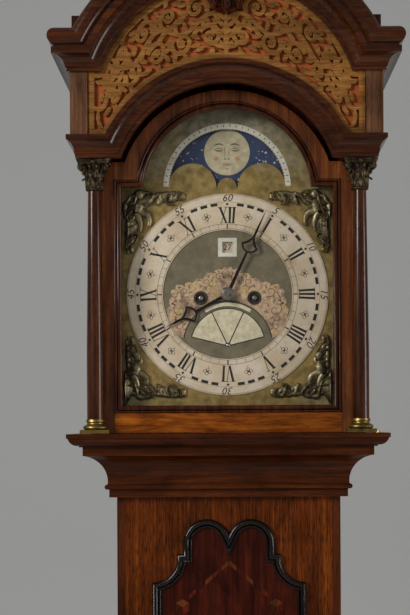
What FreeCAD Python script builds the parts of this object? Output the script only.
"""Longcase clock with a break-arch hood, a moon dial and a two-train movement.

Millimetres, +Z up, the front faces -Y, the origin is on the floor under the middle of the box.
"""
import FreeCAD
import Part
import math
import os

V = FreeCAD.Vector

# Case heights, from the floor up
FOOT_HEIGHT = 95.0
BASE_HEIGHT = 395.0
BASE_MOULDING_HEIGHT = 62.0
TRUNK_HEIGHT = 886.0
THROAT_HEIGHT = 70.0
HOOD_BASE_HEIGHT = 18.0
ORDER_HEIGHT = 375.0
IMPOST_HEIGHT = 30.0
FRIEZE_HEIGHT = 85.0
CORNICE_HEIGHT = 55.0
BLOCK_HEIGHT = 23.0

# Trunk box, and how far each member stands out from its face on the front and both sides
TRUNK_WIDTH = 310.0
TRUNK_DEPTH = 180.0
BASE_OVERHANG = 45.0
FOOT_OVERHANG = 52.0
HOOD_CORE_OVERHANG = 45.0
FRIEZE_OVERHANG = 57.0
CORNICE_OVERHANG = 85.0
ROOF_OVERHANG = 55.0
COLUMN_OVERHANG = 27.0
DOOR_OVERHANG = 36.0
PIVOT_OVERHANG = 45.5
PIVOT_FORWARD = 38.5

# Boards
BOARD = 18.0
BACK_BOARD = 12.0
HOOD_SIDE = 12.0
FRIEZE_BOARD = 10.0
FACING = 8.0
ROOF_BOARD = 10.0
SEATBOARD = 20.0
SEAT_OVERHANG = 6.0
MASK_BOARD = 6.0
MASK_RISE = 26.0
FRET = 5.2
CLOTH = 0.8
FRET_STILE = 24.0
KEYSTONE_DEPTH = 16.0
KEYSTONE_HALF = 30.0
KEYSTONE_DROP = 55.0

# Arches
ARCHIVOLT_MARGIN = 51.0
ARCHIVOLT_DROP = 51.0
CORNICE_MARGIN = 25.0
CORNICE_DROP = 56.0
DOOR_ARCH_GAP = 3.5
DOOR_ARCH_BAND = 33.5

# Hood door
DOOR_THICK = 18.0
BOTTOM_RAIL = 38.0
SHOULDER_DROP = 35.0
OPENING_ARCH_DROP = 43.0
DOOR_EDGE_STEP = 4.5
GLASS = 2.0
GLASS_LAP = 4.5
GLASS_DEPTH = 9.0
STRAP = 2.0
PIVOT_R = 2.5
PIVOT_LENGTH = 8.0

# Columns
SHAFT_TOP_R = 8.8
SHAFT_BOTTOM_R = 11.5
CAPITAL_HEIGHT = 42.0
CAPITAL_HALF = 23.0
COLUMN_BASE_HEIGHT = 19.0
COLUMN_BASE_HALF = 20.0

# Trunk door
TRUNK_DOOR_HALF = 106.5
TRUNK_DOOR_SILL = 60.0
TRUNK_DOOR_TOP_GAP = 31.0
LOBE_R = 32.7
LOBE_X = 30.5
SCOOP_R = 35.2
SCOOP_X = 34.2
STEP_UP = 4.0
LOBE_LEG = 15.8
DOOR_MOULDING = 12.0
DOOR_MOULDING_THICK = 8.0
DOOR_LIP = 5.0
DOOR_PANEL = 16.0
HINGE_LENGTH = 60.0
HINGE_ABOVE_SILL = 110.0
HINGE_BELOW_LOBES = 190.0
KNUCKLE_R = 2.4
HINGE_PIN_R = 1.2

# Dial
DIAL_WIDTH = 305.0
DIAL_ABOVE_ORDER = 194.0
DIAL_PLATE = 3.0
DIAL_BELOW = 163.0
DIAL_ABOVE = 150.0
DIAL_COVER = 6.5
DIAL_ARCH_COVER = 6.0
RING_OUTER_R = 141.0
RING_INNER_R = 90.5
RING_THICK = 1.5
SPANDREL_THICK = 4.0
DIAL_STANDOFF = 22.0
MASK_GAP = 2.0
MASK_TO_DIAL = 7.0
WINDING_X = 37.5
WINDING_DROP = 5.0
WINDING_HOLE_R = 7.7
MOON_MARGIN = 41.0
MOON_HUMP_R = 33.6
MOON_HUMP_X = 48.6
MOON_CREST_R = 13.3
MOON_LAP = 6.0
MOON_DROP = 4.0
MOON_STUD_R = 3.0
DATE_INNER_R = 50.0
DATE_OUTER_R = 82.0
DATE_WINDOW = 24.0
DATE_WINDOW_Z = 66.0
SHEET = 1.2

# Hands
MINUTE_LENGTH = 132.0
HOUR_LENGTH = 98.0
HAND_THICK = 1.2
HAND_BOSS_R = 9.8
HAND_LOOP_LENGTH = 28.0
HAND_LOOP_HALF = 12.4
HAND_CUSP = 10.0
HAND_LINE = 2.1
MINUTE_LOOP_AT = 64.0
HOUR_LOOP_AT = 50.0
MINUTE_AT = 25.0
HOUR_AT = 242.0

# Movement
PLATE = 3.5
PLATE_HALF = 80.0
PLATE_BELOW = 72.0
PLATE_ABOVE = 95.0
PLATE_SPACE = 62.0
PILLAR_R = 6.0
PIVOT_HOLE_R = 1.2
RUNNING_GAP = 0.08
ARBOR_R = 2.0
STUD_R = 1.5
WHEEL = 2.0
GREAT_TEETH = 96
CENTRE_PINION = 8
CENTRE_TEETH = 60
THIRD_PINION = 8
THIRD_TEETH = 56
ESCAPE_PINION = 7
ESCAPE_TEETH = 30
MOTION_TEETH = 40
MINUTE_PINION = 6
HOUR_TEETH = 72
STRIKE_TEETH = 84
PIN_PINION = 8
PIN_TEETH = 56
PINS = 8
PIN_R = 0.9
PIN_LENGTH = 4.0
CENTRE_TO_THIRD = 28.9
THIRD_ANGLE = 70.0
THIRD_TO_ESCAPE = 25.2
MOTION_DISTANCE = 34.0
ESCAPE_R = 19.0
PALLET_DISTANCE = 27.0
BARREL_R = 20.0
BARREL_LENGTH = 34.0
ARBOR_SQUARE_R = 3.0
CANNON_R = 3.4
HOUR_PIPE_R = 5.0

# Pendulum, weights, bell
PENDULUM_LENGTH = 994.0
ROD_R = 2.0
BOB_R = 50.0
BOB_THICK = 22.0
PENDULUM_BACK = 18.0
WEIGHT_R = 31.0
WEIGHT_HEIGHT = 180.0
LINE_R = 0.9
PULLEY_WIDTH = 9.0
WEIGHT_LOW = 166.0
BELL_R = 45.0
BELL_HEIGHT = 36.0
BELL_WALL = 3.0
TAIL_LENGTH = 14.0

CLEAR = 0.3
RUN_CLEAR = 0.7

# Levels worked out from the heights
Z_BASE_TOP = FOOT_HEIGHT + BASE_HEIGHT
Z_TRUNK = Z_BASE_TOP + BASE_MOULDING_HEIGHT
Z_THROAT = Z_TRUNK + TRUNK_HEIGHT
Z_HOOD = Z_THROAT + THROAT_HEIGHT
Z_ORDER = Z_HOOD + HOOD_BASE_HEIGHT
Z_IMPOST = Z_ORDER + ORDER_HEIGHT
Z_FRIEZE = Z_IMPOST + IMPOST_HEIGHT
Z_CORNICE = Z_FRIEZE + FRIEZE_HEIGHT
Z_CORNICE_TOP = Z_CORNICE + CORNICE_HEIGHT
Z_BLOCK_TOP = Z_CORNICE_TOP + BLOCK_HEIGHT
Z_ARCHIVOLT = Z_IMPOST - ARCHIVOLT_DROP
Z_CORNICE_ARCH = Z_CORNICE - CORNICE_DROP
Z_DIAL = Z_ORDER + DIAL_ABOVE_ORDER
Z_MOON = Z_DIAL + DIAL_ABOVE
Z_SEAT = Z_DIAL - PLATE_BELOW
Z_SEAT_UNDER = Z_SEAT - SEATBOARD

# Planes worked out from the depth
Y_BACK = (TRUNK_DEPTH + CORNICE_OVERHANG) / 2
Y_TRUNK = Y_BACK - TRUNK_DEPTH
Y_BACKBOARD = Y_BACK - BACK_BOARD
BOARD_OVERHANG = FRIEZE_OVERHANG - FACING
Y_COLUMN = Y_TRUNK - COLUMN_OVERHANG
Y_DOOR = Y_COLUMN + SHAFT_BOTTOM_R
Y_DOOR_BACK = Y_DOOR + DOOR_THICK
Y_MASK = Y_DOOR_BACK + MASK_GAP
Y_DIAL = Y_MASK + MASK_BOARD + MASK_TO_DIAL
Y_DIAL_BACK = Y_DIAL + DIAL_PLATE
Y_PLATE = Y_DIAL_BACK + DIAL_STANDOFF
Y_INSIDE = Y_PLATE + PLATE
Y_REAR = Y_INSIDE + PLATE_SPACE
Y_REAR_BACK = Y_REAR + PLATE
Y_PENDULUM = Y_REAR_BACK + PENDULUM_BACK
Y_LINE = Y_INSIDE + PLATE_SPACE / 2
X_COLUMN = TRUNK_WIDTH / 2 + COLUMN_OVERHANG
DOOR_HALF = TRUNK_WIDTH / 2 + DOOR_OVERHANG
DIAL_HALF = DIAL_WIDTH / 2
OPENING_HALF = DIAL_HALF - DIAL_COVER
ARCHIVOLT_R = TRUNK_WIDTH / 2 + BOARD_OVERHANG - ARCHIVOLT_MARGIN
CORNICE_R = TRUNK_WIDTH / 2 + BOARD_OVERHANG - CORNICE_MARGIN
OPENING_R = ARCHIVOLT_R - DOOR_ARCH_GAP - DOOR_ARCH_BAND
DIAL_ARCH_R = OPENING_R + DIAL_ARCH_COVER
MOON_WINDOW_R = DIAL_ARCH_R - MOON_MARGIN
MOON_DISC_R = MOON_WINDOW_R + MOON_LAP
HOOD_INNER = DOOR_HALF - HOOD_SIDE
FRAME_INNER = TRUNK_WIDTH / 2 + 5.0
Z_DOOR = Z_ORDER + RUN_CLEAR
Z_DOOR_TOP = Z_IMPOST - RUN_CLEAR
Z_OPENING = Z_DOOR + BOTTOM_RAIL
Z_SHOULDER = Z_IMPOST - SHOULDER_DROP
Z_OPENING_ARCH = Z_IMPOST - OPENING_ARCH_DROP
LINE_OFFSET = BARREL_R + LINE_R + 0.1
Z_PULLEY = Z_TRUNK + WEIGHT_LOW
CENTRE_DISTANCE = math.hypot(WINDING_X, WINDING_DROP)


def out_x(overhang):
    """Half width at a given overhang from the trunk."""
    return TRUNK_WIDTH / 2 + overhang


def out_y(overhang):
    """Front plane at a given overhang from the trunk."""
    return Y_TRUNK - overhang


def box(x0, x1, y0, y1, z0, z1):
    """Solid block between two corners."""
    return Part.makeBox(x1 - x0, y1 - y0, z1 - z0, V(x0, y0, z0))


def rod_y(x, z, radius, y0, y1):
    """Round bar along Y."""
    return Part.makeCylinder(radius, y1 - y0, V(x, y0, z), V(0, 1, 0))


def rod_z(x, y, radius, z0, z1):
    """Round bar along Z."""
    return Part.makeCylinder(radius, z1 - z0, V(x, y, z0))


def outline(steps, place):
    """Closed face from points and arcs; a step of two points is an arc by its middle and its end."""
    edges = []
    first = place(*steps[0])
    here = first
    for step in list(steps[1:]) + [steps[0]]:
        if isinstance(step[0], tuple):
            end = place(*step[1])
            edges.append(Part.Arc(here, place(*step[0]), end).toShape())
        else:
            end = place(*step)
            if end.isEqual(here, 1e-7):
                continue
            edges.append(Part.LineSegment(here, end).toShape())
        here = end
    return Part.Face(Part.Wire(edges))


def slab(steps, y0, y1):
    """Outline in the front view, given depth from y0 to y1."""
    return outline(steps, lambda x, z: V(x, y0, z)).extrude(V(0, y1 - y0, 0))


def plan(steps, z0, z1):
    """Outline in the plan view, given height from z0 to z1."""
    return outline(steps, lambda x, y: V(x, y, z0)).extrude(V(0, 0, z1 - z0))


def turned(steps, x, y, z):
    """Profile of (radius, height) turned about a vertical axis."""
    face = outline(steps, lambda r, h: V(x + r, y, z + h))
    return face.revolve(V(x, y, z), V(0, 0, 1), 360)


def joined(shapes):
    """One solid from several that touch or overlap."""
    return shapes[0].multiFuse(shapes[1:]).removeSplitter()


def break_arch(half, z0, z_shoulder, radius, z_centre):
    """Steps of a rectangle with a round arch rising between two shoulders."""
    x_arch = math.sqrt(radius ** 2 - (z_shoulder - z_centre) ** 2)
    return [(-half, z0), (half, z0), (half, z_shoulder), (x_arch, z_shoulder),
            ((0, z_centre + radius), (-x_arch, z_shoulder)), (-half, z_shoulder)]


def mitred(profile, z0, overhang):
    """Moulding run along the front and both sides, mitred at the corners."""
    half = out_x(overhang)
    front = out_y(overhang)
    reach = max(max(p[0] for p in step) if isinstance(step[0], tuple) else step[0] for step in profile) + 1
    deep = Y_BACK - front
    bar = outline(profile, lambda o, u: V(-half - reach, front - o, z0 + u)).extrude(V(2 * (half + reach), 0, 0))
    wedge = [(-half - reach, front - reach), (half + reach, front - reach), (half - deep / 4, front + deep / 4),
             (-half + deep / 4, front + deep / 4)]
    height = max(max(p[1] for p in step) if isinstance(step[0], tuple) else step[1] for step in profile)
    keep = plan(wedge, z0 - 1, z0 + height + 1)
    pieces = [bar.common(keep)]
    for side in (-1, 1):
        face = outline(profile, lambda o, u: V(side * (half + o), front - reach, z0 + u))
        pieces.append(face.extrude(V(0, deep + reach, 0)).cut(keep))
    return joined(pieces)


def mitre_gate(z0, height, radius, z_centre, front):
    """Block over the arch whose sides are the mitre curves, where arch and straight run meet.

    Points as far outside the arch as they are above the straight run lie on the parabola
    x * x = start + rise * z, so each side is one quadratic Bezier curve.
    """
    start = (radius - z0) ** 2 - z_centre ** 2
    rise = 2 * (radius - z0 + z_centre)
    z_low = z0 - 2
    z_high = z0 + height + 2
    x_low = math.sqrt(start + rise * z_low)
    x_high = math.sqrt(start + rise * z_high)
    pole = ((x_low + x_high) / 2, (x_low * x_high - start) / rise)
    top = z_centre + radius + height + 5

    def side(sign):
        curve = Part.BezierCurve()
        curve.setPoles([V(sign * x, front, z) for x, z in ((x_low, z_low), pole, (x_high, z_high))])
        return curve.toShape()

    corners = [V(x_high, front, z_high), V(x_high, front, top), V(-x_high, front, top), V(-x_high, front, z_high)]
    edges = [side(1)]
    for first, second in zip(corners, corners[1:]):
        edges.append(Part.LineSegment(first, second).toShape())
    edges += [side(-1), Part.LineSegment(V(-x_low, front, z_low), V(x_low, front, z_low)).toShape()]
    return Part.Face(Part.Wire(edges)).extrude(V(0, -100, 0))


def arched(profile, height, z0, overhang, radius, z_centre):
    """Mitred moulding whose front rises into an arch of the same profile."""
    front = out_y(overhang)
    face = outline(profile, lambda o, u: V(radius + u, front - o, z_centre))
    ring = face.revolve(V(0, 0, z_centre), V(0, -1, 0), 180)
    gate = mitre_gate(z0, height, radius, z_centre, front)
    return joined([ring.common(gate), mitred(profile, z0, overhang).cut(gate)])


def toothed(teeth, module, tooth_angle, root=0.50, tip=0.16, rise=0.9, fall=1.15):
    """Points of a gear outline about the origin, one tooth centred on tooth_angle degrees."""
    radius = teeth * module / 2
    pitch = 2 * math.pi / teeth
    points = []
    for k in range(teeth):
        middle = math.radians(tooth_angle) + k * pitch
        for share, r in ((-root, radius - fall * module), (-tip, radius + rise * module),
                         (tip, radius + rise * module), (root, radius - fall * module)):
            angle = middle + share * pitch / 2
            points.append((r * math.cos(angle), r * math.sin(angle)))
    return points


def moved(points, x, z):
    """Points shifted to an arbor's place."""
    return [(px + x, pz + z) for px, pz in points]


def wheel(x, z, teeth, module, tooth_angle, y0, y1, hub):
    """Toothed wheel with four crossings."""
    body = slab(moved(toothed(teeth, module, tooth_angle), x, z), y0, y1)
    rim = teeth * module / 2 - 4 * module
    gap = rod_y(x, z, rim, y0, y1).cut(rod_y(x, z, hub + 2.5, y0, y1))
    arm = 0.055 * teeth * module
    gap = gap.cut(box(x - arm, x + arm, y0, y1, z - rim, z + rim))
    gap = gap.cut(box(x - rim, x + rim, y0, y1, z - arm, z + arm))
    return body.cut(gap)


def pinion(x, z, leaves, module, tooth_angle, y0, y1):
    """Slim-leaved pinion."""
    points = toothed(leaves, module, tooth_angle, root=0.36, tip=0.14, rise=0.6, fall=1.3)
    return slab(moved(points, x, z), y0, y1)


def arbor(x, z, radius, y0=None, y1=None):
    """Steel arbor between the plates with a pivot at each end."""
    start = Y_INSIDE + CLEAR if y0 is None else y0
    end = Y_REAR - CLEAR if y1 is None else y1
    pivot = rod_y(x, z, PIVOT_HOLE_R, start - CLEAR - PLATE, end + CLEAR + PLATE)
    return rod_y(x, z, radius, start, end).fuse(pivot)


def face_angle(x0, z0, x1, z1):
    """Degrees from +X towards +Z of the line from one arbor to the next."""
    return math.degrees(math.atan2(z1 - z0, x1 - x0))


def meshing(angle, leaves):
    """Tooth angle that puts a gap of the driven pinion on the line of centres."""
    return angle + 180 + 180 / leaves


# Arbor places, relative to the frame
X_THIRD = CENTRE_TO_THIRD * math.cos(math.radians(THIRD_ANGLE))
Z_THIRD = Z_DIAL + CENTRE_TO_THIRD * math.sin(math.radians(THIRD_ANGLE))
Z_ESCAPE = Z_THIRD + math.sqrt(THIRD_TO_ESCAPE ** 2 - X_THIRD ** 2)
Z_PALLET = Z_ESCAPE + PALLET_DISTANCE
Z_WIND = Z_DIAL - WINDING_DROP
Z_MINUTE = Z_DIAL - MOTION_DISTANCE
GREAT_MODULE = 2 * CENTRE_DISTANCE / (GREAT_TEETH + CENTRE_PINION)
CENTRE_MODULE = 2 * CENTRE_TO_THIRD / (CENTRE_TEETH + THIRD_PINION)
THIRD_MODULE = 2 * THIRD_TO_ESCAPE / (THIRD_TEETH + ESCAPE_PINION)
MOTION_MODULE = MOTION_DISTANCE / MOTION_TEETH
HOUR_MODULE = 2 * MOTION_DISTANCE / (HOUR_TEETH + MINUTE_PINION)
PIN_DISTANCE = GREAT_MODULE * (STRIKE_TEETH + PIN_PINION) / 2
X_PIN = -WINDING_X - 3.0
Z_PIN = Z_WIND + math.sqrt(PIN_DISTANCE ** 2 - 3.0 ** 2)
PIN_MODULE = 0.7
X_HAMMER = -PLATE_HALF + 28.0
Z_HAMMER = Z_DIAL + 60.0
X_BELL = X_HAMMER + 8.0 + BELL_R
Z_BELL = Z_DIAL + PLATE_ABOVE + 18.0
Y_BELL = Y_LINE

# Moulding profiles, as (out, up) steps
CORNICE_PROFILE = [(0, 0), (12, 0), (12, 4.5), (14, 5.5), ((18.4, 16.1), (29, 20.5)), (31, 20.5), (31, 29),
                   (28, 29), (28, 32), ((CORNICE_OVERHANG - BOARD_OVERHANG, 43.5), (28, CORNICE_HEIGHT)),
                   (0, CORNICE_HEIGHT)]
IMPOST_PROFILE = [(0, 0), (2, 0), (2, 5.5), (3.5, 5.5), ((5.6, 16.5), (11.5, 22.5)), (13.5, 24),
                  (13.5, IMPOST_HEIGHT), (0, IMPOST_HEIGHT)]
HOOD_BASE_PROFILE = [(0, 0), (3, 0), (3, 2), ((13, 5), (17, 12)), (19, 12), (19, HOOD_BASE_HEIGHT),
                     (0, HOOD_BASE_HEIGHT)]
THROAT_PROFILE = [(0, 0), (10, 0), (10, 10.5), (12, 11), ((16, 14.5), (12, 18)), ((20.8, 46), (42, 58)),
                  (43.5, 58), (43.5, THROAT_HEIGHT), (0, THROAT_HEIGHT)]
BASE_PROFILE = [(0, 0), (49, 0), (49, 9), (46, 10), ((24, 22), (14, 44)), (16, 46), ((18, 50), (14, 54)),
                (10, 54), (10, BASE_MOULDING_HEIGHT), (0, BASE_MOULDING_HEIGHT)]


def trunk_door_steps(inset):
    """Double-lobed outline of the trunk door, set in from the outer edge of its moulding."""
    half = TRUNK_DOOR_HALF - inset
    z_lobe = Z_THROAT - TRUNK_DOOR_TOP_GAP - LOBE_R
    z_step = z_lobe - LOBE_LEG - inset
    z_scoop = z_lobe - LOBE_LEG - STEP_UP
    x_step = TRUNK_DOOR_HALF - SCOOP_X - inset
    scoop = SCOOP_R + inset
    lobe = LOBE_R - inset
    start = (half, z_scoop - math.sqrt(scoop ** 2 - inset ** 2))
    x_end = TRUNK_DOOR_HALF - x_step
    end = (x_step, z_scoop - math.sqrt(max(scoop ** 2 - x_end ** 2, 0)))
    middle = (TRUNK_DOOR_HALF - scoop * math.sin(math.radians(45)), z_scoop - scoop * math.cos(math.radians(45)))
    notch = math.sqrt(LOBE_R ** 2 - LOBE_X ** 2)
    x_leg = LOBE_X + lobe
    right = [(half, Z_TRUNK + TRUNK_DOOR_SILL + inset), start, (middle, end), (x_step, z_step), (x_leg, z_step),
             (x_leg, z_lobe)]
    share = lobe / LOBE_R
    near = (LOBE_X * (1 - share), z_lobe + notch * share)
    top = [((LOBE_X, z_lobe + lobe), near)]
    if inset > 0:
        top.append(((0, z_lobe + notch - inset), (-near[0], near[1])))
    top.append(((-LOBE_X, z_lobe + lobe), (-x_leg, z_lobe)))
    left = [(-x_leg, z_step), (-x_step, z_step), (-end[0], end[1]),
            ((-middle[0], middle[1]), (-start[0], start[1])), (-half, Z_TRUNK + TRUNK_DOOR_SILL + inset)]
    return right + top + left


def make_case():
    """Feet, base, trunk, backboard and seatboard."""
    nodes = {}
    foot = out_x(FOOT_OVERHANG)
    foot_front = out_y(FOOT_OVERHANG)
    skirt = box(-foot, foot, foot_front, Y_BACK, 0, FOOT_HEIGHT)
    wall = BOARD + FOOT_OVERHANG - BASE_OVERHANG
    skirt = skirt.cut(box(-foot + wall, foot - wall, foot_front + wall, Y_BACK, 0, FOOT_HEIGHT))
    shape_high = FOOT_HEIGHT * 0.62
    for half, cutter in ((foot, "front"), (Y_BACK - foot_front, "side")):
        span = (half - 90.0) if cutter == "front" else (half / 2 - 70.0)
        steps = [(-span, 0), ((-span + 12, shape_high * 0.55), (-span + 32, shape_high)), (span - 32, shape_high),
                 ((span - 12, shape_high * 0.55), (span, 0))]
        if cutter == "front":
            skirt = skirt.cut(slab(steps, foot_front, foot_front + wall))
        else:
            middle = (Y_BACK + foot_front) / 2
            face = outline(steps, lambda y, z: V(-foot, y + middle, z))
            skirt = skirt.cut(face.extrude(V(2 * foot, 0, 0)))
    nodes["bracket_feet"] = skirt

    base = out_x(BASE_OVERHANG)
    base_front = out_y(BASE_OVERHANG)
    carcase = box(-base, base, base_front, Y_BACK, FOOT_HEIGHT, Z_BASE_TOP)
    carcase = carcase.cut(box(-base + BOARD, base - BOARD, base_front + BOARD, Y_BACK,
                              FOOT_HEIGHT + BOARD, Z_BASE_TOP))
    nodes["base_carcase"] = carcase
    nodes["base_moulding"] = mitred(BASE_PROFILE, Z_BASE_TOP, 0)

    half = TRUNK_WIDTH / 2
    front = box(-half, half, Y_TRUNK, Y_TRUNK + BOARD, Z_BASE_TOP, Z_HOOD)
    front = front.cut(slab(trunk_door_steps(DOOR_LIP), Y_TRUNK, Y_TRUNK + BOARD))
    sides = []
    for side in (-1, 1):
        low, high = sorted((side * half, side * (half - BOARD)))
        sides.append(box(low, high, Y_TRUNK + BOARD, Y_BACKBOARD, Z_BASE_TOP, Z_HOOD))
        sides.append(box(low, high, Y_DIAL_BACK + 10, Y_BACKBOARD, Z_HOOD, Z_SEAT_UNDER))
    nodes["trunk_carcase"] = joined([front] + sides)
    nodes["throat_moulding"] = mitred(THROAT_PROFILE, Z_THROAT, 0)

    wide = base - BOARD
    upper = HOOD_INNER - 3
    crown = FRAME_INNER - 3
    crown_r = CORNICE_R + CORNICE_HEIGHT - ROOF_BOARD - 8
    z_crown = Z_CORNICE_ARCH + math.sqrt(crown_r ** 2 - crown ** 2)
    z_wide = Z_ORDER + 4
    z_ears = Z_IMPOST - 3
    steps = [(-wide, FOOT_HEIGHT + BOARD), (wide, FOOT_HEIGHT + BOARD), (wide, Z_BASE_TOP), (half, Z_BASE_TOP),
             (half, z_wide), (upper, z_wide), (upper, z_ears), (crown, z_ears), (crown, z_crown),
             ((0, Z_CORNICE_ARCH + crown_r), (-crown, z_crown)), (-crown, z_ears), (-upper, z_ears),
             (-upper, z_wide), (-half, z_wide), (-half, Z_BASE_TOP), (-wide, Z_BASE_TOP)]
    nodes["backboard"] = slab(steps, Y_BACKBOARD, Y_BACK)

    seat_half = half + SEAT_OVERHANG
    seat = box(-seat_half, seat_half, Y_PLATE - 4, Y_BACKBOARD, Z_SEAT_UNDER, Z_SEAT)
    for x in (-WINDING_X, WINDING_X):
        seat = seat.cut(rod_z(x - math.copysign(LINE_OFFSET, x), Y_LINE, 6.0, Z_SEAT_UNDER, Z_SEAT))
    seat = seat.cut(box(-40, 40, Y_PENDULUM - 16, Y_PENDULUM + 12, Z_SEAT_UNDER, Z_SEAT))
    nodes["seatboard"] = seat
    return nodes


def hinge_axis():
    """Plan position of the trunk door's hinge pins."""
    return TRUNK_DOOR_HALF + 3.7, Y_TRUNK - CLEAR - DOOR_MOULDING_THICK / 2


def make_trunk_door():
    """Lobed door with its moulding, hinges and lock plate."""
    nodes = {}
    face = Y_TRUNK - CLEAR
    panel = slab(trunk_door_steps(DOOR_LIP + 2.0), face, face + DOOR_PANEL)
    nodes["trunk_door_panel"] = panel
    mould = slab(trunk_door_steps(0), face - DOOR_MOULDING_THICK, face)
    nodes["trunk_door_moulding"] = mould.cut(slab(trunk_door_steps(DOOR_MOULDING), face - DOOR_MOULDING_THICK, face))

    x, y = hinge_axis()
    third = HINGE_LENGTH / 3
    z_low = Z_TRUNK + TRUNK_DOOR_SILL
    z_high = Z_THROAT - TRUNK_DOOR_TOP_GAP - LOBE_R - HINGE_BELOW_LOBES
    fixed = []
    swing = []
    for z in (z_low + HINGE_ABOVE_SILL, z_high):
        z0 = z - HINGE_LENGTH / 2
        z1 = z + HINGE_LENGTH / 2
        low_knuckle = rod_z(x, y, KNUCKLE_R, z0, z0 + third - 0.2)
        high_knuckle = rod_z(x, y, KNUCKLE_R, z1 - third + 0.2, z1)
        pin = rod_z(x, y, HINGE_PIN_R, z0, z1)
        leaf = box(x + 1.5, x + 16, Y_TRUNK - 1.2, Y_TRUNK, z0, z1)
        webs = [box(x, x + 4, y, Y_TRUNK, z0, z0 + third - 0.2), box(x, x + 4, y, Y_TRUNK, z1 - third + 0.2, z1)]
        fixed.append(joined([low_knuckle, high_knuckle, pin, leaf] + webs))
        plate = box(TRUNK_DOOR_HALF, x - KNUCKLE_R - 0.2, face - DOOR_MOULDING_THICK, face - 0.4, z0, z1)
        web = box(x - KNUCKLE_R - 0.3, x, y - 1.2, y + 1.2, z0 + third, z1 - third)
        knuckle = rod_z(x, y, KNUCKLE_R, z0 + third, z1 - third)
        bore = rod_z(x, y, HINGE_PIN_R + 0.05, z0, z1)
        swing.append(joined([plate, web, knuckle]).cut(bore))
    nodes["trunk_hinge_leaves"] = Part.makeCompound(fixed)
    nodes["trunk_door_hinges"] = Part.makeCompound(swing)

    z_lock = (z_low + z_high) / 2 + 40
    x_lock = -TRUNK_DOOR_HALF + DOOR_MOULDING + 12
    lock = slab([(x_lock - 8, z_lock - 10), ((x_lock, z_lock - 20), (x_lock + 8, z_lock - 10)),
                 (x_lock + 8, z_lock + 10), ((x_lock, z_lock + 20), (x_lock - 8, z_lock + 10))], face - 1.2, face)
    lock = lock.cut(rod_y(x_lock, z_lock + 3, 2.6, face - 1.2, face))
    lock = lock.cut(box(x_lock - 1.2, x_lock + 1.2, face - 1.2, face, z_lock - 8, z_lock + 3))
    nodes["trunk_door_lock"] = lock
    return nodes


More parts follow.
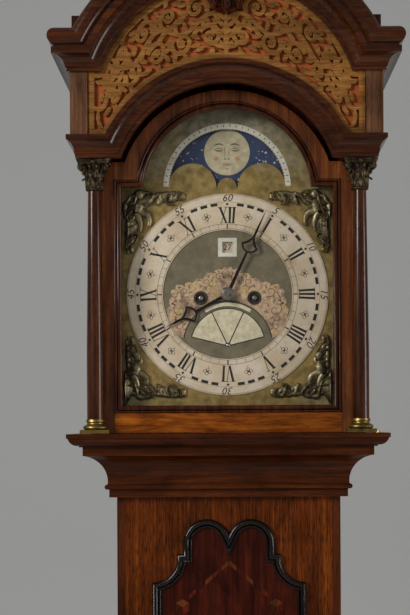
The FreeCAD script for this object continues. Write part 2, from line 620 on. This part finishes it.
def make_hood():
    """Sliding hood: frame, sides, frieze, fret, mouldings, roof and mask."""
    nodes = {}
    core = out_x(HOOD_CORE_OVERHANG)
    core_front = out_y(HOOD_CORE_OVERHANG)
    frame = box(-core, core, core_front, Y_BACK, Z_HOOD, Z_ORDER)
    frame = frame.cut(box(-FRAME_INNER, FRAME_INNER, Y_TRUNK - 4, Y_BACK, Z_HOOD, Z_ORDER))
    frame = joined([frame, mitred(HOOD_BASE_PROFILE, Z_HOOD, HOOD_CORE_OVERHANG)])
    pivot_x = out_x(PIVOT_OVERHANG)
    pivot_y = Y_TRUNK - PIVOT_FORWARD
    bore = PIVOT_R + 0.05
    frame = frame.cut(rod_z(pivot_x, pivot_y, bore, Z_ORDER - PIVOT_LENGTH - 1, Z_ORDER))
    nodes["hood_base_frame"] = frame

    sides = []
    for side in (-1, 1):
        low, high = sorted((side * HOOD_INNER, side * DOOR_HALF))
        sides.append(box(low, high, Y_DOOR_BACK + 1, Y_BACK, Z_ORDER, Z_IMPOST))
    nodes["hood_sides"] = Part.makeCompound(sides)

    wide = out_x(BOARD_OVERHANG)
    board = out_y(BOARD_OVERHANG)
    rear = board + FRIEZE_BOARD
    inner_r = CORNICE_R + CORNICE_HEIGHT - ROOF_BOARD
    roof_half = out_x(ROOF_OVERHANG)
    front = slab([(-wide, Z_IMPOST), (wide, Z_IMPOST), (wide, Z_CORNICE_TOP), (-wide, Z_CORNICE_TOP)], board, rear)
    head = slab(break_arch(roof_half - ROOF_BOARD, Z_CORNICE_TOP, Z_BLOCK_TOP - ROOF_BOARD, inner_r,
                           Z_CORNICE_ARCH), board, rear)
    pieces = [front, head]
    plate_inner = FRAME_INNER
    face = out_x(FRIEZE_OVERHANG)
    face_front = out_y(FRIEZE_OVERHANG)
    for side in (-1, 1):
        def span(a, b):
            return sorted((side * a, side * b))
        x0, x1 = span(plate_inner, wide)
        pieces.append(box(x0, x1, rear, Y_BACK, Z_IMPOST, Z_IMPOST + FRIEZE_BOARD))
        x0, x1 = span(wide - FRIEZE_BOARD, wide)
        pieces.append(box(x0, x1, rear, Y_BACK, Z_IMPOST, Z_CORNICE_TOP))
        x0, x1 = span(wide, face)
        pieces.append(box(x0, x1, board, Y_BACK, Z_FRIEZE, Z_CORNICE))
        x0, x1 = span(face - FRET_STILE, face)
        pieces.append(box(x0, x1, face_front, board, Z_FRIEZE, Z_CORNICE))
    frieze = joined(pieces).cut(rod_y(0, Z_ARCHIVOLT, ARCHIVOLT_R, board, rear))
    frieze = frieze.cut(rod_z(pivot_x, pivot_y, bore, Z_IMPOST, Z_IMPOST + PIVOT_LENGTH + 1))
    nodes["hood_frieze"] = frieze

    nodes["hood_archivolt"] = arched(IMPOST_PROFILE, IMPOST_HEIGHT, Z_IMPOST, BOARD_OVERHANG, ARCHIVOLT_R,
                                     Z_ARCHIVOLT)
    nodes["hood_cornice"] = arched(CORNICE_PROFILE, CORNICE_HEIGHT, Z_CORNICE, BOARD_OVERHANG, CORNICE_R,
                                   Z_CORNICE_ARCH)
    field = face - FRET_STILE - 0.2

    def field_slab(y0, y1):
        low = slab([(-field, Z_FRIEZE + 0.2), (field, Z_FRIEZE + 0.2), (field, Z_CORNICE - 0.2),
                    (-field, Z_CORNICE - 0.2)], y0, y1)
        disc = rod_y(0, Z_CORNICE_ARCH, CORNICE_R - 0.2, y0, y1)
        disc = disc.common(box(-field, field, y0, y1, Z_FRIEZE + 0.2, Z_CORNICE_TOP + CORNICE_R))
        return joined([low, disc]).cut(rod_y(0, Z_ARCHIVOLT, ARCHIVOLT_R + IMPOST_HEIGHT + 0.2, y0, y1))

    nodes["fret_cloth"] = field_slab(board - CLOTH, board)
    nodes["hood_fret"] = field_slab(board - CLOTH - FRET, board - CLOTH)
    fret_face = board - CLOTH - FRET
    z_top = Z_CORNICE_ARCH + CORNICE_R
    drop = slab([(-KEYSTONE_HALF, z_top), (-KEYSTONE_HALF * 0.9, z_top - KEYSTONE_DROP * 0.55),
                 ((-KEYSTONE_HALF * 0.5, z_top - KEYSTONE_DROP * 0.85), (0, z_top - KEYSTONE_DROP)),
                 ((KEYSTONE_HALF * 0.5, z_top - KEYSTONE_DROP * 0.85),
                  (KEYSTONE_HALF * 0.9, z_top - KEYSTONE_DROP * 0.55)), (KEYSTONE_HALF, z_top)],
                fret_face - KEYSTONE_DEPTH, fret_face)
    arch = rod_y(0, Z_CORNICE_ARCH, CORNICE_R - 0.2, fret_face - KEYSTONE_DEPTH, fret_face)
    nodes["hood_keystone"] = drop.common(arch)

    outer_r = CORNICE_R + CORNICE_HEIGHT
    roof = slab(break_arch(roof_half, Z_CORNICE_TOP, Z_BLOCK_TOP, outer_r, Z_CORNICE_ARCH), board, Y_BACK)
    hollow = slab(break_arch(roof_half - ROOF_BOARD, Z_CORNICE_TOP, Z_BLOCK_TOP - ROOF_BOARD, inner_r,
                             Z_CORNICE_ARCH), board, Y_BACK)
    nodes["hood_roof"] = roof.cut(hollow)

    mask_r = ARCHIVOLT_R + 12
    mask = slab(break_arch(HOOD_INNER, Z_ORDER, Z_IMPOST - 0.5, mask_r, Z_ARCHIVOLT), Y_MASK, Y_MASK + MASK_BOARD)
    shoulder = FRAME_INNER - CLEAR
    mask = joined([mask, box(-shoulder, shoulder, Y_MASK, Y_MASK + MASK_BOARD, Z_SHOULDER, Z_IMPOST + MASK_RISE)])
    hole = slab(break_arch(OPENING_HALF + 2.5, Z_OPENING - 2.5, Z_SHOULDER + 2.5, OPENING_R + 4,
                           Z_OPENING_ARCH + 2.5), Y_MASK, Y_MASK + MASK_BOARD)
    nodes["dial_mask"] = mask.cut(hole)
    return nodes


def make_hood_door():
    """Arched glazed door with its columns and pivot straps."""
    nodes = {}
    opening = [OPENING_HALF, Z_OPENING, Z_SHOULDER, OPENING_R]

    def hole(grow, y0, y1):
        return slab(break_arch(opening[0] + grow, opening[1] - grow, opening[2] + grow, opening[3] + grow,
                               Z_OPENING_ARCH), y0, y1)

    leaf = slab(break_arch(DOOR_HALF, Z_DOOR, Z_DOOR_TOP, ARCHIVOLT_R - DOOR_ARCH_GAP, Z_ARCHIVOLT),
                Y_DOOR, Y_DOOR_BACK)
    leaf = leaf.cut(hole(0, Y_DOOR, Y_DOOR_BACK))
    leaf = leaf.cut(hole(2 * DOOR_EDGE_STEP, Y_DOOR, Y_DOOR + 2.5))
    leaf = leaf.cut(hole(DOOR_EDGE_STEP, Y_DOOR, Y_DOOR + 5.5))
    y_glass = Y_DOOR + GLASS_DEPTH
    leaf = leaf.cut(hole(GLASS_LAP, y_glass, Y_DOOR_BACK))
    nodes["hood_door_glass"] = hole(GLASS_LAP - 0.3, y_glass, y_glass + GLASS)

    px = out_x(PIVOT_OVERHANG)
    py = Y_TRUNK - PIVOT_FORWARD
    tail = OPENING_HALF + 12
    strap_steps = [(tail, Y_DOOR + 2), (px - 6, Y_DOOR + 2), (px - 6, py), ((px, py - 6), (px + 6, py)),
                   (px + 6, Y_DOOR + 6), (DOOR_HALF, Y_DOOR_BACK - 4), (tail, Y_DOOR_BACK - 4)]
    straps = []
    cutters = []
    for z0, pin_from, pin_to in ((Z_DOOR, Z_DOOR - PIVOT_LENGTH, Z_DOOR + STRAP),
                                 (Z_DOOR_TOP - STRAP, Z_DOOR_TOP - STRAP, Z_DOOR_TOP + PIVOT_LENGTH)):
        strap = plan(strap_steps, z0, z0 + STRAP)
        cutters.append(strap)
        straps.append(joined([strap, rod_z(px, py, PIVOT_R, pin_from, pin_to)]))
    for cutter in cutters:
        leaf = leaf.cut(cutter)
    nodes["hood_door_frame"] = leaf
    nodes["hood_door_hinges"] = Part.makeCompound(straps)

    z_cap = Z_DOOR_TOP - CAPITAL_HEIGHT
    z_shaft = Z_DOOR + COLUMN_BASE_HEIGHT
    shafts, capitals, bases = [], [], []
    behind = box(-DOOR_HALF - 60, DOOR_HALF + 60, Y_DOOR, Y_DOOR + 100, Z_DOOR - 1, Z_DOOR_TOP + 1)
    for side in (-1, 1):
        x = side * X_COLUMN
        length = z_cap - z_shaft
        shafts.append(turned([(0, 0), (SHAFT_BOTTOM_R, 0), (SHAFT_BOTTOM_R, length * 0.3),
                              (SHAFT_TOP_R, length), (0, length)], x, Y_COLUMN, z_shaft))
        neck = SHAFT_TOP_R + 3
        bell = turned([(0, 0), (neck, 0), ((neck + 2, 2), (neck, 4)), (neck - 1.5, 5),
                       ((neck + 1.5, CAPITAL_HEIGHT * 0.6), (CAPITAL_HALF - 3, CAPITAL_HEIGHT - 6)),
                       (0, CAPITAL_HEIGHT - 6)], x, Y_COLUMN, z_cap)
        dip = 4.0
        h = CAPITAL_HALF
        abacus = plan([(x - h, Y_COLUMN - h), ((x, Y_COLUMN - h + dip), (x + h, Y_COLUMN - h)),
                       ((x + h - dip, Y_COLUMN), (x + h, Y_COLUMN + h)), (x - h, Y_COLUMN + h),
                       ((x - h + dip, Y_COLUMN), (x - h, Y_COLUMN - h))], Z_DOOR_TOP - 6, Z_DOOR_TOP)
        capital = joined([bell, abacus]).cut(behind)
        h = COLUMN_BASE_HALF
        plinth = box(x - h, x + h, Y_COLUMN - h, Y_COLUMN + h, Z_DOOR, Z_DOOR + 5)
        torus_r = SHAFT_BOTTOM_R + 5.5
        torus = turned([(0, 4), (torus_r - 3, 4), (torus_r - 3, 5), ((torus_r, 8), (torus_r - 3, 11)),
                        (torus_r - 4, 12), ((torus_r - 5.5, 14), (torus_r - 4, 16)), (torus_r - 4.5, 19), (0, 19)],
                       x, Y_COLUMN, Z_DOOR)
        base = joined([plinth, torus]).cut(behind)
        if side > 0:
            base = base.cut(cutters[0])
            capital = capital.cut(cutters[1])
        bases.append(base)
        capitals.append(capital)
    nodes["column_shafts"] = Part.makeCompound(shafts)
    nodes["column_capitals"] = Part.makeCompound(capitals)
    nodes["column_bases"] = Part.makeCompound(bases)
    return nodes


def make_dial():
    """Dial plate, chapter ring, spandrels, moon disc, date ring and hands."""
    nodes = {}
    bottom = Z_DIAL - DIAL_BELOW
    plate = slab(break_arch(DIAL_HALF, bottom, Z_MOON, DIAL_ARCH_R, Z_MOON - 0.5), Y_DIAL, Y_DIAL_BACK)
    window = rod_y(0, Z_MOON, MOON_WINDOW_R, Y_DIAL, Y_DIAL_BACK)
    window = window.common(box(-DIAL_HALF, DIAL_HALF, Y_DIAL, Y_DIAL_BACK, Z_MOON, Z_MOON + MOON_WINDOW_R))
    for x, radius in ((-MOON_HUMP_X, MOON_HUMP_R), (MOON_HUMP_X, MOON_HUMP_R), (0, MOON_CREST_R)):
        window = window.cut(rod_y(x, Z_MOON, radius, Y_DIAL, Y_DIAL_BACK))
    plate = plate.cut(window)
    for x in (-WINDING_X, WINDING_X):
        plate = plate.cut(rod_y(x, Z_WIND, WINDING_HOLE_R, Y_DIAL, Y_DIAL_BACK))
    plate = plate.cut(rod_y(0, Z_DIAL, 7.0, Y_DIAL, Y_DIAL_BACK))
    date_z = Z_DIAL + DATE_WINDOW_Z
    half = DATE_WINDOW / 2
    plate = plate.cut(box(-half, half, Y_DIAL, Y_DIAL_BACK, date_z - half, date_z + half))
    feet = []
    for x, z in ((-1, -1), (1, -1), (-1, 1), (1, 1)):
        foot_x = x * (PLATE_HALF - 6)
        foot_z = Z_DIAL + (z < 0) * (-PLATE_BELOW + 6) + (z > 0) * 52.0
        feet.append(rod_y(foot_x, foot_z, 4.0, Y_DIAL_BACK, Y_PLATE))
    y_date = Y_DIAL_BACK + 0.6
    y_moon = y_date + SHEET + 0.8
    feet.append(rod_y(0, Z_MOON - MOON_DROP, MOON_STUD_R, Y_DIAL_BACK, y_moon + 4))
    for angle in (30, 150, 270):
        x = (DATE_OUTER_R + CLEAR + 2.5) * math.cos(math.radians(angle))
        z = Z_DIAL + (DATE_OUTER_R + CLEAR + 2.5) * math.sin(math.radians(angle))
        feet.append(rod_y(x, z, 2.5, Y_DIAL_BACK, y_date + SHEET + 1.4))
        feet.append(rod_y(x, z, 4.5, y_date + SHEET + 0.4, y_date + SHEET + 1.4))
    nodes["dial_plate"] = joined([plate] + feet)

    ring = rod_y(0, Z_DIAL, RING_OUTER_R, Y_DIAL - RING_THICK, Y_DIAL)
    nodes["chapter_ring"] = ring.cut(rod_y(0, Z_DIAL, RING_INNER_R, Y_DIAL - RING_THICK, Y_DIAL))
    corners = []
    edge = DIAL_HALF - DIAL_COVER - 3
    for sx in (-1, 1):
        for sz, reach in ((-1, DIAL_BELOW - DIAL_COVER - 4), (1, DIAL_ABOVE - 4)):
            corner = box(*sorted((sx * 62, sx * edge)), Y_DIAL - SPANDREL_THICK, Y_DIAL,
                         *sorted((Z_DIAL + sz * 62, Z_DIAL + sz * reach)))
            corners.append(corner.cut(rod_y(0, Z_DIAL, RING_OUTER_R + 3, Y_DIAL - SPANDREL_THICK, Y_DIAL)))
    nodes["spandrels"] = Part.makeCompound(corners)

    date = rod_y(0, Z_DIAL, DATE_OUTER_R, y_date, y_date + SHEET)
    nodes["date_ring"] = date.cut(rod_y(0, Z_DIAL, DATE_INNER_R, y_date, y_date + SHEET))
    moon_z = Z_MOON - MOON_DROP
    moon = rod_y(0, moon_z, MOON_DISC_R, y_moon, y_moon + SHEET)
    moon = joined([moon, rod_y(0, moon_z, MOON_STUD_R + 3, y_moon, y_moon + 3.5)])
    nodes["moon_disc"] = moon.cut(rod_y(0, moon_z, MOON_STUD_R + RUNNING_GAP, y_moon, y_moon + 3.5))

    minute_y = Y_DIAL - 8.0
    hour_y = Y_DIAL - 4.2
    nodes["minute_hand"] = hand(MINUTE_LENGTH, MINUTE_LOOP_AT, CANNON_R + 0.05, MINUTE_AT, minute_y)
    nodes["hour_hand"] = hand(HOUR_LENGTH, HOUR_LOOP_AT, HOUR_PIPE_R + 0.05, HOUR_AT, hour_y)
    return nodes


def tulip(half, start, cusp, end):
    """Outline with a rounded base, two cusps and hollow sides that run to a point."""
    side = (0.30 * half, (cusp + end) / 2)
    return [(half, cusp), (side, (0, end)), ((-side[0], side[1]), (-half, cusp)), ((0, start), (half, cusp))]


def hand(length, loop_at, bore, clock_angle, y0):
    """Steel hand: boss, slender stem, open tulip loop and blade, pointing at a clock angle from twelve."""
    y1 = y0 + HAND_THICK
    z = Z_DIAL + loop_at
    top = z + HAND_LOOP_LENGTH
    cusp = z + HAND_CUSP
    boss = rod_y(0, Z_DIAL, HAND_BOSS_R, y0, y1)
    stem = slab([(-2.6, Z_DIAL), (2.6, Z_DIAL), (1.5, z + 1), (-1.5, z + 1)], y0, y1)
    loop = slab(tulip(HAND_LOOP_HALF, z, cusp, top), y0, y1)
    inner = slab(tulip(HAND_LOOP_HALF - 1.6 * HAND_LINE, z + HAND_LINE, cusp - 0.4 * HAND_LINE, top - 4 * HAND_LINE),
                 y0, y1)
    blade = slab([(-1.4, top - 7), (1.4, top - 7), (1.7, top + 4), (0, Z_DIAL + length), (-1.7, top + 4)], y0, y1)
    shape = joined([boss, stem, loop.cut(inner), blade]).cut(rod_y(0, Z_DIAL, bore, y0, y1))
    shape.rotate(V(0, y0, Z_DIAL), V(0, 1, 0), clock_angle)
    return shape


def make_frame():
    """Plates, pillars, back cock, bell and hammer."""
    nodes = {}
    z0 = Z_DIAL - PLATE_BELOW
    z1 = Z_DIAL + PLATE_ABOVE
    hole = PIVOT_HOLE_R + RUNNING_GAP
    places = [(X_THIRD, Z_THIRD), (0, Z_ESCAPE), (X_PIN, Z_PIN), (X_HAMMER, Z_HAMMER)]
    plates = []
    for y0 in (Y_PLATE, Y_REAR):
        plate = box(-PLATE_HALF, PLATE_HALF, y0, y0 + PLATE, z0, z1)
        for x, z in places:
            plate = plate.cut(rod_y(x, z, hole, y0, y0 + PLATE))
        big = ARBOR_SQUARE_R + RUNNING_GAP if y0 == Y_PLATE else hole
        for x in (-WINDING_X, WINDING_X):
            plate = plate.cut(rod_y(x, Z_WIND, big, y0, y0 + PLATE))
        centre = ARBOR_R + RUNNING_GAP if y0 == Y_PLATE else hole
        plate = plate.cut(rod_y(0, Z_DIAL, centre, y0, y0 + PLATE))
        if y0 == Y_PLATE:
            plate = plate.cut(rod_y(0, Z_MINUTE, STUD_R + RUNNING_GAP, y0, y0 + PLATE))
        pallet = hole if y0 == Y_PLATE else 5.0
        plate = plate.cut(rod_y(0, Z_PALLET, pallet, y0, y0 + PLATE))
        plates.append(plate)
    nodes["movement_plates"] = Part.makeCompound(plates)

    pillars = []
    for x, z in ((-1, z0 + 10), (1, z0 + 10), (-1, z1 - 10), (1, z1 - 10)):
        middle = PLATE_SPACE / 2
        face = outline([(0, 0), (PILLAR_R, 0), (PILLAR_R, 5), (PILLAR_R - 2, 7), (PILLAR_R - 2, middle - 4),
                        (PILLAR_R + 1, middle), (PILLAR_R - 2, middle + 4), (PILLAR_R - 2, PLATE_SPACE - 7),
                        (PILLAR_R, PLATE_SPACE - 5), (PILLAR_R, PLATE_SPACE), (0, PLATE_SPACE)],
                       lambda r, h: V(x * (PLATE_HALF - 9) + r, Y_INSIDE + h, z))
        pillars.append(face.revolve(V(x * (PLATE_HALF - 9), 0, z), V(0, 1, 0), 360))
    nodes["plate_pillars"] = Part.makeCompound(pillars)

    bridge = Y_REAR_BACK + 10.0
    cock = [box(-30, 30, bridge, bridge + 4, Z_PALLET - 7, Z_PALLET + 13)]
    for x in (-30, 20):
        cock.append(box(x, x + 10, Y_REAR_BACK, bridge, Z_PALLET - 7, Z_PALLET + 7))
    cock.append(box(-5, 5, bridge + 4, Y_PENDULUM + 4, Z_PALLET + 4, Z_PALLET + 13))
    nodes["back_cock"] = joined(cock).cut(rod_y(0, Z_PALLET, hole, bridge, bridge + 4))

    waist = BELL_R - 2
    rim = BELL_HEIGHT * 0.25
    middle = (BELL_HEIGHT ** 2 - waist ** 2 - rim ** 2) / (2 * (BELL_HEIGHT - rim))
    dome = BELL_HEIGHT - middle
    turn = math.atan2(waist, rim - middle)

    def on_dome(radius, angle):
        return (radius * math.sin(angle), middle + radius * math.cos(angle))

    inside = dome - BELL_WALL
    bell = turned([(0, BELL_HEIGHT), (0, BELL_HEIGHT - BELL_WALL), (on_dome(inside, turn / 2), on_dome(inside, turn)),
                   (BELL_R - BELL_WALL, 0), (BELL_R, 0), on_dome(dome, turn),
                   (on_dome(dome, turn / 2), (0, BELL_HEIGHT))], X_BELL, Y_BELL, Z_BELL)
    stand_y = Y_REAR_BACK
    z_arm = Z_BELL + BELL_HEIGHT
    stand = joined([box(X_BELL - 5, X_BELL + 5, stand_y, stand_y + 4, Z_DIAL + PLATE_ABOVE - 11, z_arm + 4),
                    box(X_BELL - 5, X_BELL + 5, Y_BELL - 5, stand_y + 4, z_arm, z_arm + 4)])
    nodes["bell"] = Part.makeCompound([bell, stand])

    head_z = Z_BELL + 6
    head = Part.makeCylinder(5.0, 14, V(X_HAMMER - 10, Y_BELL, head_z), V(1, 0, 0))
    shaft = rod_z(X_HAMMER, Y_BELL, 1.6, Z_HAMMER, head_z)
    away = math.atan2(Z_PIN - Z_HAMMER, X_PIN - X_HAMMER)
    tail = box(0, TAIL_LENGTH, Y_REAR - 12, Y_REAR - 8.5, -1.2, 1.2)
    tail.rotate(V(0, 0, 0), V(0, -1, 0), math.degrees(away))
    tail.translate(V(X_HAMMER, 0, Z_HAMMER))
    nodes["bell_hammer"] = joined([arbor(X_HAMMER, Z_HAMMER, ARBOR_R), shaft, head, tail])
    return nodes


def make_trains():
    """Going train, motion work, strike wheels, pallets and pendulum."""
    nodes = {}
    great_y = Y_INSIDE + 9.5
    barrel_y = great_y + 5
    for name, x, teeth in (("going", WINDING_X, GREAT_TEETH), ("strike", -WINDING_X, STRIKE_TEETH)):
        target = (0, Z_DIAL) if name == "going" else (X_PIN, Z_PIN)
        angle = face_angle(x, Z_WIND, *target)
        great = wheel(x, Z_WIND, teeth, GREAT_MODULE, angle, great_y, great_y + 3, 8.0)
        nodes[name + "_great_wheel"] = great.cut(rod_y(x, Z_WIND, 5.0 + RUNNING_GAP, great_y, great_y + 3))
        drum = rod_y(x, Z_WIND, BARREL_R, barrel_y, barrel_y + BARREL_LENGTH)
        caps = [rod_y(x, Z_WIND, BARREL_R + 4, barrel_y, barrel_y + 2),
                rod_y(x, Z_WIND, BARREL_R + 4, barrel_y + BARREL_LENGTH - 2, barrel_y + BARREL_LENGTH)]
        spindle = rod_y(x, Z_WIND, ARBOR_SQUARE_R, Y_DIAL - 1, Y_INSIDE + CLEAR)
        body = rod_y(x, Z_WIND, 5.0, Y_INSIDE + CLEAR, Y_REAR - CLEAR)
        pivot = rod_y(x, Z_WIND, PIVOT_HOLE_R, Y_REAR - CLEAR, Y_REAR_BACK)
        nodes[name + "_barrel"] = joined([drum] + caps + [spindle, body, pivot])

    angle = face_angle(WINDING_X, Z_WIND, 0, Z_DIAL)
    centre_y = Y_REAR - 7.5
    third_angle = face_angle(0, Z_DIAL, X_THIRD, Z_THIRD)
    nose = Y_DIAL - 12.0
    nodes["centre_wheel"] = joined([
        rod_y(0, Z_DIAL, ARBOR_R, nose, Y_REAR - CLEAR), rod_y(0, Z_DIAL, PIVOT_HOLE_R, Y_REAR - CLEAR, Y_REAR_BACK),
        pinion(0, Z_DIAL, CENTRE_PINION, GREAT_MODULE, meshing(angle, CENTRE_PINION), great_y - 1, great_y + 4),
        wheel(0, Z_DIAL, CENTRE_TEETH, CENTRE_MODULE, third_angle, centre_y, centre_y + WHEEL, 5.0)])
    third_y = Y_INSIDE + 4.5
    escape_angle = face_angle(X_THIRD, Z_THIRD, 0, Z_ESCAPE)
    nodes["third_wheel"] = joined([
        arbor(X_THIRD, Z_THIRD, ARBOR_R),
        pinion(X_THIRD, Z_THIRD, THIRD_PINION, CENTRE_MODULE, meshing(third_angle, THIRD_PINION),
               centre_y - 1, centre_y + WHEEL + 1),
        wheel(X_THIRD, Z_THIRD, THIRD_TEETH, THIRD_MODULE, escape_angle, third_y, third_y + WHEEL, 5.0)])
    escape_y = Y_INSIDE + 40.0
    points = []
    for k in range(ESCAPE_TEETH):
        a = 2 * math.pi * k / ESCAPE_TEETH
        for share, r in ((0.0, ESCAPE_R), (0.12, ESCAPE_R), (0.45, ESCAPE_R - 4), (0.9, ESCAPE_R - 4)):
            turn = a + share * 2 * math.pi / ESCAPE_TEETH
            points.append((r * math.cos(turn), Z_ESCAPE + r * math.sin(turn)))
    nodes["escape_wheel"] = joined([
        arbor(0, Z_ESCAPE, ARBOR_R),
        pinion(0, Z_ESCAPE, ESCAPE_PINION, THIRD_MODULE, meshing(escape_angle, ESCAPE_PINION),
               third_y - 1, third_y + WHEEL + 1),
        slab(points, escape_y, escape_y + WHEEL)])

    bridge = Y_REAR_BACK + 10.0
    reach = ESCAPE_R + 2.2
    nibs = []
    for side in (-1, 1):
        a = math.radians(42)
        x1 = side * reach * math.sin(a)
        z1 = Z_ESCAPE + reach * math.cos(a)
        nibs.append(slab([(0, Z_PALLET + 4), (side * 4, Z_PALLET + 3), (x1 + side * 4, z1 + 3), (x1 + side * 2, z1),
                          (x1, z1), (0, Z_PALLET - 5)], escape_y, escape_y + 3))
    crutch_y = Y_REAR_BACK + 4
    z_fork = Z_PALLET - 70
    loop = ROD_R + 0.5
    crutch = [box(-1.5, 1.5, crutch_y, crutch_y + 3, z_fork, Z_PALLET)]
    for x in (-loop - 1.5, loop):
        crutch.append(box(x, x + 1.5, crutch_y, Y_PENDULUM + ROD_R + 3, z_fork - 2, z_fork + 1))
    crutch.append(box(-loop - 1.5, loop + 1.5, crutch_y, crutch_y + 3, z_fork - 2, z_fork + 1))
    nodes["pallets"] = joined(nibs + [rod_y(0, Z_PALLET, ARBOR_R, Y_INSIDE + CLEAR, bridge - CLEAR),
                                      rod_y(0, Z_PALLET, PIVOT_HOLE_R, Y_PLATE, bridge + 4)] + crutch)

    spring_top = Z_PALLET + 3.6
    z_rod = Z_PALLET - 40
    z_bob = Z_PALLET - PENDULUM_LENGTH
    spring = box(-3, 3, Y_PENDULUM - 0.3, Y_PENDULUM + 0.3, z_rod, spring_top)
    nut_z = z_bob - BOB_R - 10
    nut = rod_z(0, Y_PENDULUM, 7.0, nut_z, nut_z + 6)
    nodes["pendulum_rod"] = joined([spring, rod_z(0, Y_PENDULUM, ROD_R, nut_z - 12, z_rod + 4), nut])
    half = BOB_THICK / 2
    face = outline([(0, -half), (BOB_R * 0.4, -half), ((BOB_R * 0.8, -half * 0.62), (BOB_R, -1)), (BOB_R, 1),
                    ((BOB_R * 0.8, half * 0.62), (BOB_R * 0.4, half)), (0, half)],
                   lambda r, h: V(r, Y_PENDULUM + h, z_bob))
    bob = face.revolve(V(0, Y_PENDULUM, z_bob), V(0, 1, 0), 360)
    nodes["pendulum_bob"] = bob.cut(rod_z(0, Y_PENDULUM, ROD_R, z_bob - BOB_R, z_bob + BOB_R))

    motion_y = Y_PLATE - 6.0
    hour_y = Y_PLATE - 11.5
    down = face_angle(0, Z_DIAL, 0, Z_MINUTE)
    cannon = joined([wheel(0, Z_DIAL, MOTION_TEETH, MOTION_MODULE, down, motion_y, motion_y + WHEEL, 5.0),
                     rod_y(0, Z_DIAL, CANNON_R, Y_DIAL - 8.0, motion_y + WHEEL + 1)])
    nodes["cannon_wheel"] = cannon.cut(rod_y(0, Z_DIAL, ARBOR_R, Y_DIAL - 9, motion_y + WHEEL + 1))
    stud = rod_y(0, Z_MINUTE, STUD_R, hour_y - 2, Y_PLATE + PLATE)
    nodes["minute_wheel"] = joined([
        wheel(0, Z_MINUTE, MOTION_TEETH, MOTION_MODULE, meshing(down, MOTION_TEETH), motion_y, motion_y + WHEEL, 5.0),
        pinion(0, Z_MINUTE, MINUTE_PINION, HOUR_MODULE, down + 180, hour_y - 1, motion_y), stud])
    hour = joined([wheel(0, Z_DIAL, HOUR_TEETH, HOUR_MODULE, down + 180 / HOUR_TEETH, hour_y, hour_y + WHEEL, 7.0),
                   rod_y(0, Z_DIAL, HOUR_PIPE_R, Y_DIAL - 4.2, hour_y + WHEEL)])
    nodes["hour_wheel"] = hour.cut(rod_y(0, Z_DIAL, CANNON_R + RUNNING_GAP, Y_DIAL - 5, hour_y + WHEEL))

    pin_angle = face_angle(-WINDING_X, Z_WIND, X_PIN, Z_PIN)
    pin_y = Y_REAR - 7.5
    pins = []
    for k in range(PINS):
        a = 2 * math.pi * k / PINS
        r = PIN_TEETH * PIN_MODULE / 2 - 2.4
        pins.append(rod_y(X_PIN + r * math.cos(a), Z_PIN + r * math.sin(a), PIN_R, pin_y - PIN_LENGTH, pin_y))
    nodes["pin_wheel"] = joined([
        arbor(X_PIN, Z_PIN, ARBOR_R),
        pinion(X_PIN, Z_PIN, PIN_PINION, GREAT_MODULE, meshing(pin_angle, PIN_PINION), great_y - 1, great_y + 4),
        wheel(X_PIN, Z_PIN, PIN_TEETH, PIN_MODULE, 0, pin_y, pin_y + WHEEL, 5.0)] + pins)
    return nodes


def make_weights():
    """Weights, pulleys and gut lines of the two trains."""
    nodes = {}
    for name, x in (("going", WINDING_X), ("strike", -WINDING_X)):
        half = PULLEY_WIDTH / 2
        groove = BARREL_R
        face = outline([(2.1, -half), (groove + 2, -half), (groove + 2, -half + 1.5), (groove, -1.2), (groove, 1.2),
                        (groove + 2, half - 1.5), (groove + 2, half), (2.1, half)],
                       lambda r, h: V(x + r, Y_LINE + h, Z_PULLEY))
        nodes[name + "_pulley"] = face.revolve(V(x, Y_LINE, Z_PULLEY), V(0, 1, 0), 360)
        top = Z_PULLEY - groove - 12
        cheek = half + 0.5
        parts = [turned([(0, 0), (WEIGHT_R - 2, 0), (WEIGHT_R, 3), (WEIGHT_R, WEIGHT_HEIGHT - 6),
                         ((WEIGHT_R - 3, WEIGHT_HEIGHT - 2), (WEIGHT_R - 8, WEIGHT_HEIGHT)), (0, WEIGHT_HEIGHT)],
                        x, Y_LINE, top - WEIGHT_HEIGHT),
                 box(x - 5, x + 5, Y_LINE - cheek - 2, Y_LINE + cheek + 2, top - 1, top + 6),
                 rod_y(x, Z_PULLEY, 2.0, Y_LINE - cheek - 2, Y_LINE + cheek + 2)]
        for y in (Y_LINE - cheek - 2, Y_LINE + cheek):
            parts.append(box(x - 5, x + 5, y, y + 2, top, Z_PULLEY + 6))
        nodes[name + "_weight"] = joined(parts)
        inner = x - math.copysign(LINE_OFFSET, x)
        outer = x + math.copysign(LINE_OFFSET, x)
        round_pulley = Part.Face(Part.Wire(Part.makeCircle(LINE_R, V(x + LINE_OFFSET, Y_LINE, Z_PULLEY))))
        nodes[name + "_line"] = joined([rod_z(inner, Y_LINE, LINE_R, Z_PULLEY, Z_WIND),
                                        rod_z(outer, Y_LINE, LINE_R, Z_PULLEY, Z_SEAT_UNDER),
                                        round_pulley.revolve(V(x, Y_LINE, Z_PULLEY), V(0, 1, 0), 180)])
    return nodes


def main():
    """Build every node and write one STEP file each."""
    os.makedirs("parts", exist_ok=True)
    for maker in (make_case, make_trunk_door, make_hood, make_hood_door, make_dial, make_frame, make_trains,
                  make_weights):
        for name, shape in maker().items():
            if not shape.isValid():
                print("invalid", name)
            shape.exportStep("parts/" + name + ".step")


main()
